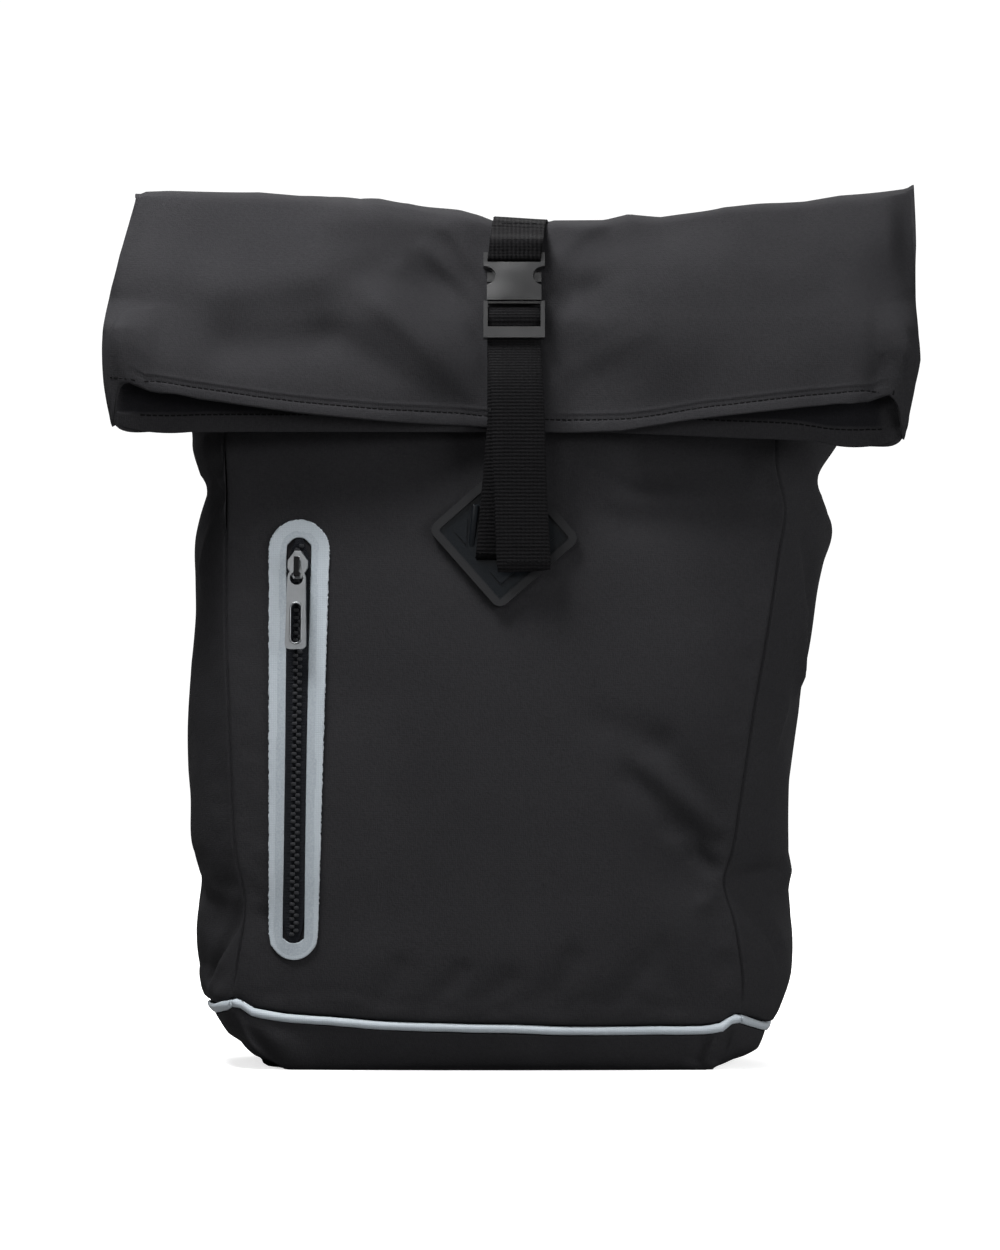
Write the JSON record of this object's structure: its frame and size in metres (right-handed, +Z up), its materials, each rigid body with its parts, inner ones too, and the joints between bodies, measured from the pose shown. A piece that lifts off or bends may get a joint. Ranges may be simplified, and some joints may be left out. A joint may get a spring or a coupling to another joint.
{
  "type": "anti-theft backpack",
  "caption": "Slim roll-top backpack standing on its base, its top folded forward over the front and held down by a buckled centre strap, with a vertical zip pocket and padded shoulder straps.",
  "frame": {"origin": "on the floor, on the flat underside of the base, under the middle of the bag", "axes": "+Z up, the front with the zip and the strap faces -Y, +X to the right seen from the front"},
  "size_m": [0.4072, 0.1964, 0.4391],
  "materials": {
    "softshell": "matt black softshell with a fine weave",
    "padding": "black padded cloth",
    "webbing": "black woven webbing",
    "reflective": "grey retroreflective tape",
    "zip_tape": "black woven tape",
    "zip_teeth": "black moulded teeth",
    "slider_metal": "dark gunmetal",
    "puller_metal": "satin grey metal",
    "buckle_plastic": "black moulded plastic",
    "patch_rubber": "black moulded rubber"
  },
  "bodies": {
    "pack": {"front_panel": "softshell", "gusset_left": "softshell", "gusset_right": "softshell", "back_panel": "softshell", "base": "softshell", "roll_top_front": "softshell", "roll_top_back": "softshell", "piping_front": "reflective", "piping_left": "reflective", "piping_right": "reflective", "zip_frame": "reflective", "zip_tape": "zip_tape", "zip_chain": "zip_teeth", "zip_slider": "slider_metal", "anchor_patch": "patch_rubber", "strap_upper": "webbing", "buckle_female": "buckle_plastic", "buckle_male": "buckle_plastic", "strap_lower": "webbing", "shoulder_strap_left": "padding", "shoulder_strap_right": "padding", "strap_webbing_left": "webbing", "strap_webbing_right": "webbing", "strap_tab_left": "softshell", "strap_tab_right": "softshell"},
    "puller": {"zip_puller": "puller_metal"}
  },
  "joints": [
    {"name": "puller_swing", "type": "hinge", "parent": "pack", "child": "puller", "pos_m": [-0.10085, -0.06161, 0.2499], "axis": [-0.9888, 0.1494, 0.0024], "range_deg": [0, 140]}
  ]
}
